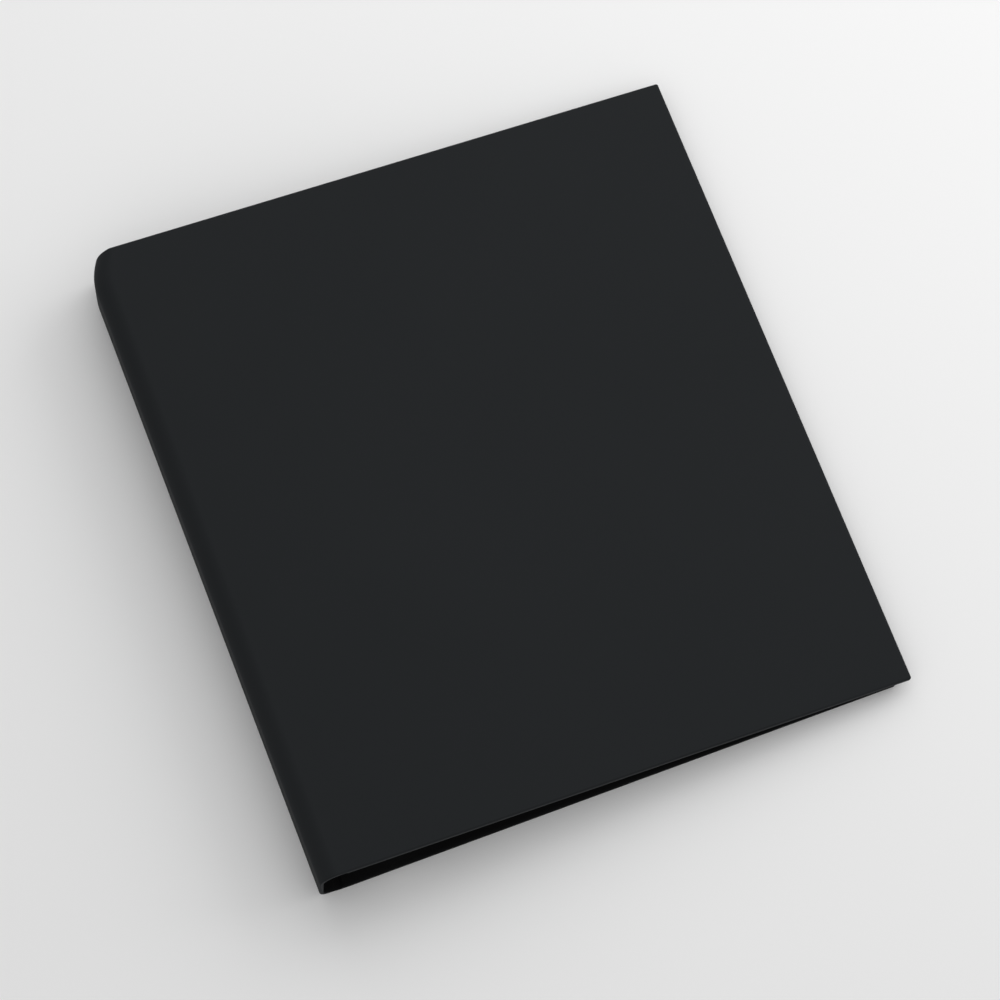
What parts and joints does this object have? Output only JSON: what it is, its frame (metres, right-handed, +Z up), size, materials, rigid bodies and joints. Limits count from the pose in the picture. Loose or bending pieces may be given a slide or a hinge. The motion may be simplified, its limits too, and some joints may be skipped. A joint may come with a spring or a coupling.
{
  "type": "ring binder",
  "caption": "Black photo binder: two stiff covers on a rounded spine, a ring mechanism with opening levers, and clear photo pages with black inserts.",
  "frame": {"origin": "middle of the closed binder's footprint, on the surface that the back cover lies on", "axes": "+X from the spine to the fore edge, +Y from the tail to the head, +Z up through the front cover"},
  "size_m": [0.2666, 0.2922, 0.032],
  "materials": {
    "cover": "smooth matte black bonded leather cloth, turned over the board edges",
    "board": "grey binder's board",
    "lining": "matte black lining paper",
    "nickel": "bright nickel-plated steel",
    "steel": "plain rolled steel",
    "film": "clear polypropylene film",
    "card": "matte black card"
  },
  "bodies": {
    "back_cover": {"back_cover_skin": "cover", "back_board": "board", "back_lining": "lining", "back_joint_strip": "cover", "ring_housing": "nickel", "rivet_tail": "nickel", "rivet_head": "nickel"},
    "spine": {"spine_skin": "cover", "spine_board": "board", "spine_lining": "lining", "front_joint_strip": "cover"},
    "front_cover": {"front_cover_skin": "cover", "front_board": "board", "front_lining": "lining"},
    "spine_side_rings": {"blade_spine_side": "steel", "half_ring_tail_spine_side": "nickel", "half_ring_middle_spine_side": "nickel", "half_ring_head_spine_side": "nickel"},
    "page_side_rings": {"blade_page_side": "steel", "half_ring_tail_page_side": "nickel", "half_ring_middle_page_side": "nickel", "half_ring_head_page_side": "nickel"},
    "tail_lever": {"lever_tail": "nickel"},
    "head_lever": {"lever_head": "nickel"},
    "page_1": {"page_1_pocket": "film", "page_1_card": "card"},
    "page_2": {"page_2_pocket": "film", "page_2_card": "card"},
    "page_3": {"page_3_pocket": "film", "page_3_card": "card"}
  },
  "joints": [
    {"name": "spine_joint", "type": "hinge", "parent": "back_cover", "child": "spine", "pos_m": [-0.125, 0, 0.001], "axis": [0, -1, 0], "range_deg": [0, 25]},
    {"name": "front_cover_joint", "type": "hinge", "parent": "spine", "child": "front_cover", "pos_m": [-0.1233, 0, 0.03164], "axis": [0, -1, 0], "range_deg": [0, 166]},
    {"name": "tail_lever_press", "type": "hinge", "parent": "back_cover", "child": "tail_lever", "pos_m": [-0.09935, -0.136, 0.0053], "axis": [1, 0, 0], "range_deg": [0, 30]},
    {"name": "head_lever_press", "type": "hinge", "parent": "back_cover", "child": "head_lever", "pos_m": [-0.09935, 0.136, 0.0053], "axis": [-1, 0, 0], "range_deg": [0, 30]},
    {"name": "spine_side_blade_snap", "type": "hinge", "parent": "back_cover", "child": "spine_side_rings", "pos_m": [-0.10975, 0, 0.00455], "axis": [0, -1, 0], "range_deg": [0, 8]},
    {"name": "page_side_blade_snap", "type": "hinge", "parent": "back_cover", "child": "page_side_rings", "pos_m": [-0.08895, 0, 0.00455], "axis": [0, 1, 0], "range_deg": [0, 8]},
    {"name": "page_1_turn", "type": "hinge", "parent": "back_cover", "child": "page_1", "pos_m": [-0.09935, 0, 0.0139], "axis": [0, -1, 0], "range_deg": [0, 128]},
    {"name": "page_2_turn", "type": "hinge", "parent": "back_cover", "child": "page_2", "pos_m": [-0.09935, 0, 0.0139], "axis": [0, -1, 0], "range_deg": [0, 110]},
    {"name": "page_3_turn", "type": "hinge", "parent": "back_cover", "child": "page_3", "pos_m": [-0.09935, 0, 0.0139], "axis": [0, -1, 0], "range_deg": [0, 92]}
  ],
  "couplings": [
    {"joint": "head_lever_press", "follows": "tail_lever_press", "ratio": 1},
    {"joint": "spine_side_blade_snap", "follows": "tail_lever_press", "ratio": 0.2666},
    {"joint": "page_side_blade_snap", "follows": "tail_lever_press", "ratio": 0.2666},
    {"joint": "page_1_turn", "follows": "front_cover_joint", "ratio": 0.76},
    {"joint": "page_2_turn", "follows": "front_cover_joint", "ratio": 0.65},
    {"joint": "page_3_turn", "follows": "front_cover_joint", "ratio": 0.545}
  ]
}
